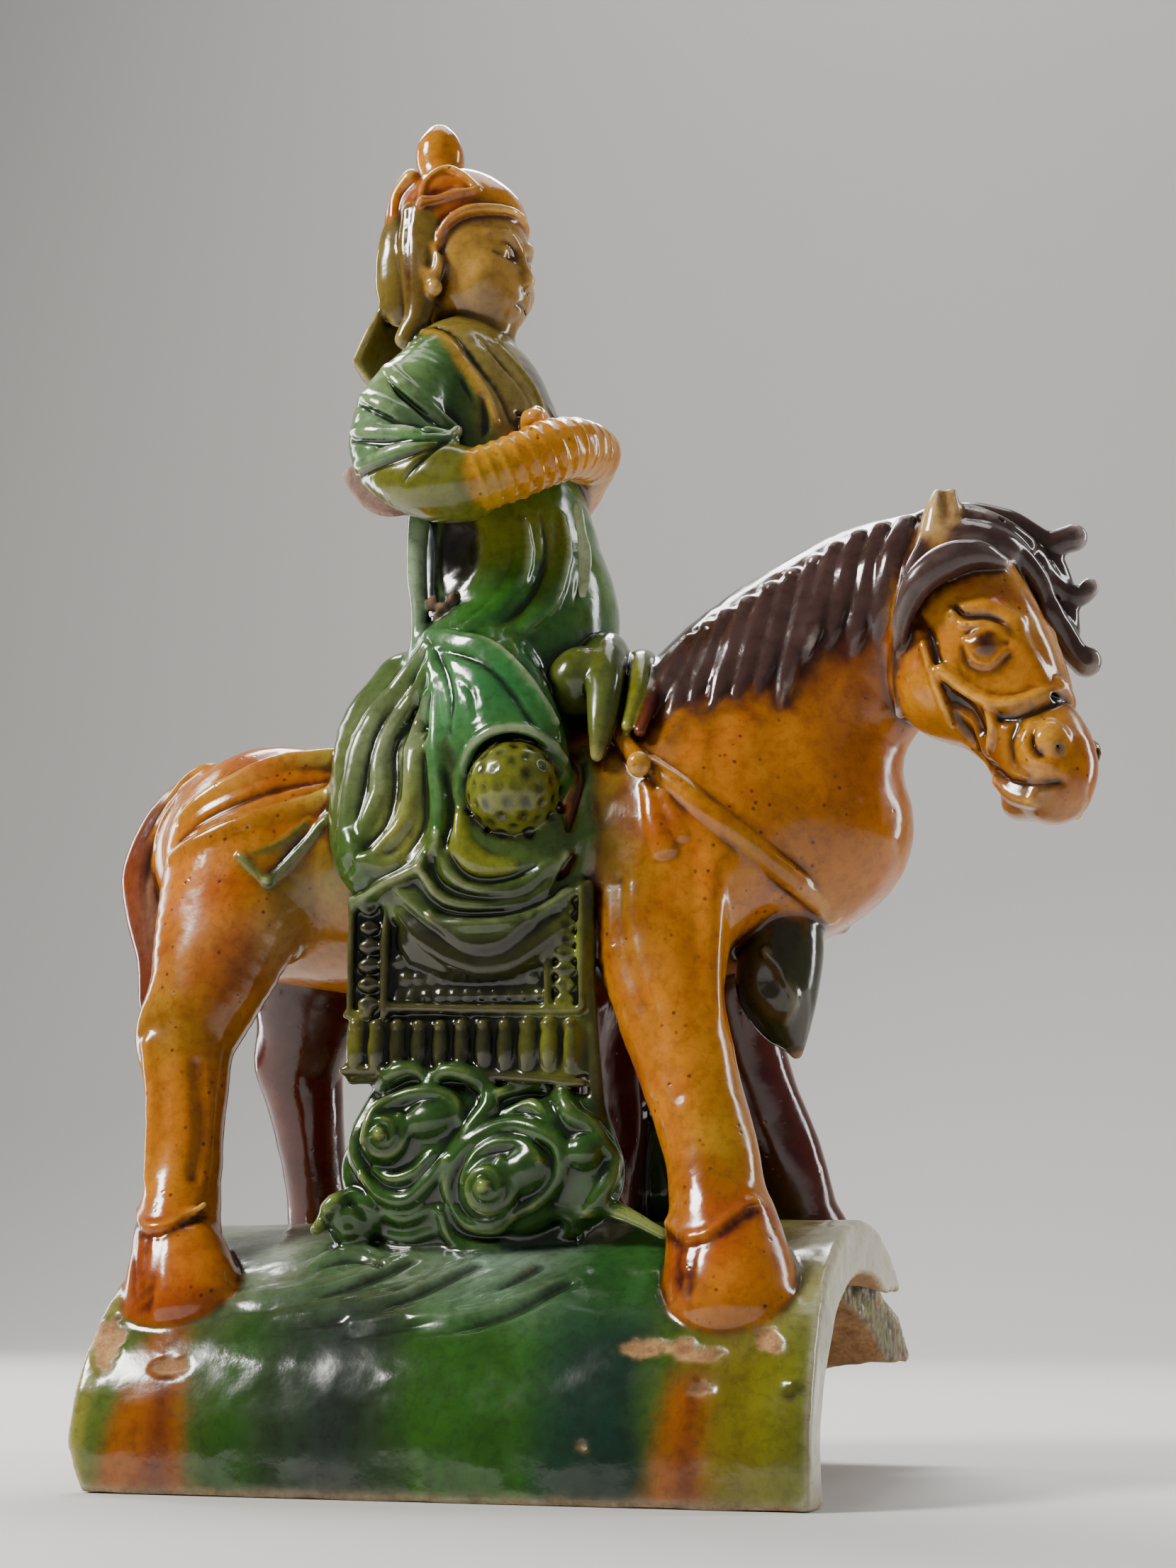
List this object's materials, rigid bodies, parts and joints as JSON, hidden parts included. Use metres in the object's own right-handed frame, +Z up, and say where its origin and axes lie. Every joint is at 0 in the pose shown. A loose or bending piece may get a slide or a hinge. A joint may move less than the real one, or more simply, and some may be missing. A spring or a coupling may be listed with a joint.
{
  "type": "roof ridge figure",
  "caption": "Glazed ridge tile with a rider on horseback, arched and hollow below, bedded along both long edges on a roof ridge.",
  "frame": {"origin": "on the bedding plane of the tile's two long edges, under the middle of the whole figure's length and width", "axes": "+X along the ridge, the way the horse faces; +Y across the ridge to the horse's left; +Z up"},
  "size_m": [0.3098, 0.176, 0.429],
  "materials": {
    "lead_glaze": "glossy amber, green and brown lead glaze over buff fired clay"
  },
  "bodies": {
    "root": {"ridge_figure": "lead_glaze"}
  },
  "joints": []
}
